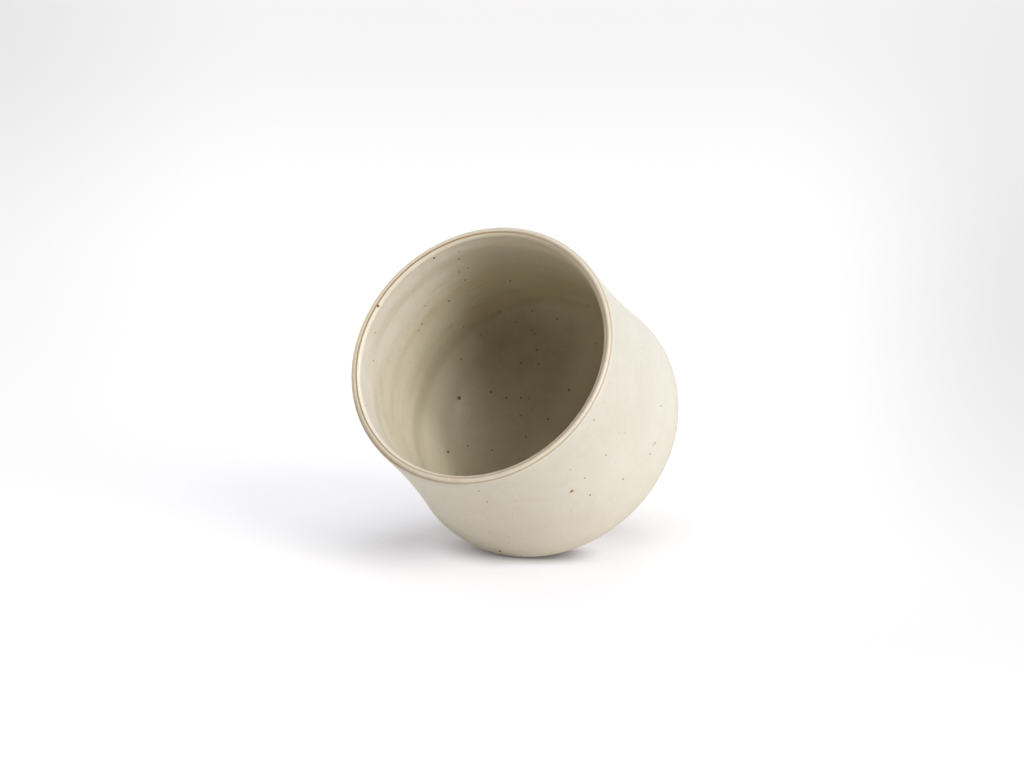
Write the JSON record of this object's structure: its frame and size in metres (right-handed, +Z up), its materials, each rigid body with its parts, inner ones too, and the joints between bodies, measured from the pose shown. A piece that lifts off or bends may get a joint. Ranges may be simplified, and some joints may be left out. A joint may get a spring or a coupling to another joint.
{
  "type": "tea cup",
  "caption": "Handleless stoneware tea cup with a softly flared wall, bevelled heel and hollowed foot, glazed cream inside and out, with fine brown lines where the glaze breaks at the lip.",
  "frame": {"origin": "middle of the foot, on the surface that the cup stands on", "axes": "+Z up along the cup's axis, from the foot to the mouth; X and Y are free, since the cup is round"},
  "size_m": [0.0873, 0.0872, 0.069],
  "materials": {
    "stoneware": "bare fired stoneware, fine sandy grain, iron specks",
    "outside_glaze": "satin matte cream glaze with iron specks and pinholes",
    "lip_glaze": "satin matte cream glaze, thin at its edges",
    "inside_glaze": "satin cream glaze with beige bands along the throwing rings and iron specks"
  },
  "bodies": {
    "root": {"clay_body": "stoneware", "outside_glaze": "outside_glaze", "lip_glaze": "lip_glaze", "inside_glaze": "inside_glaze"}
  },
  "joints": []
}
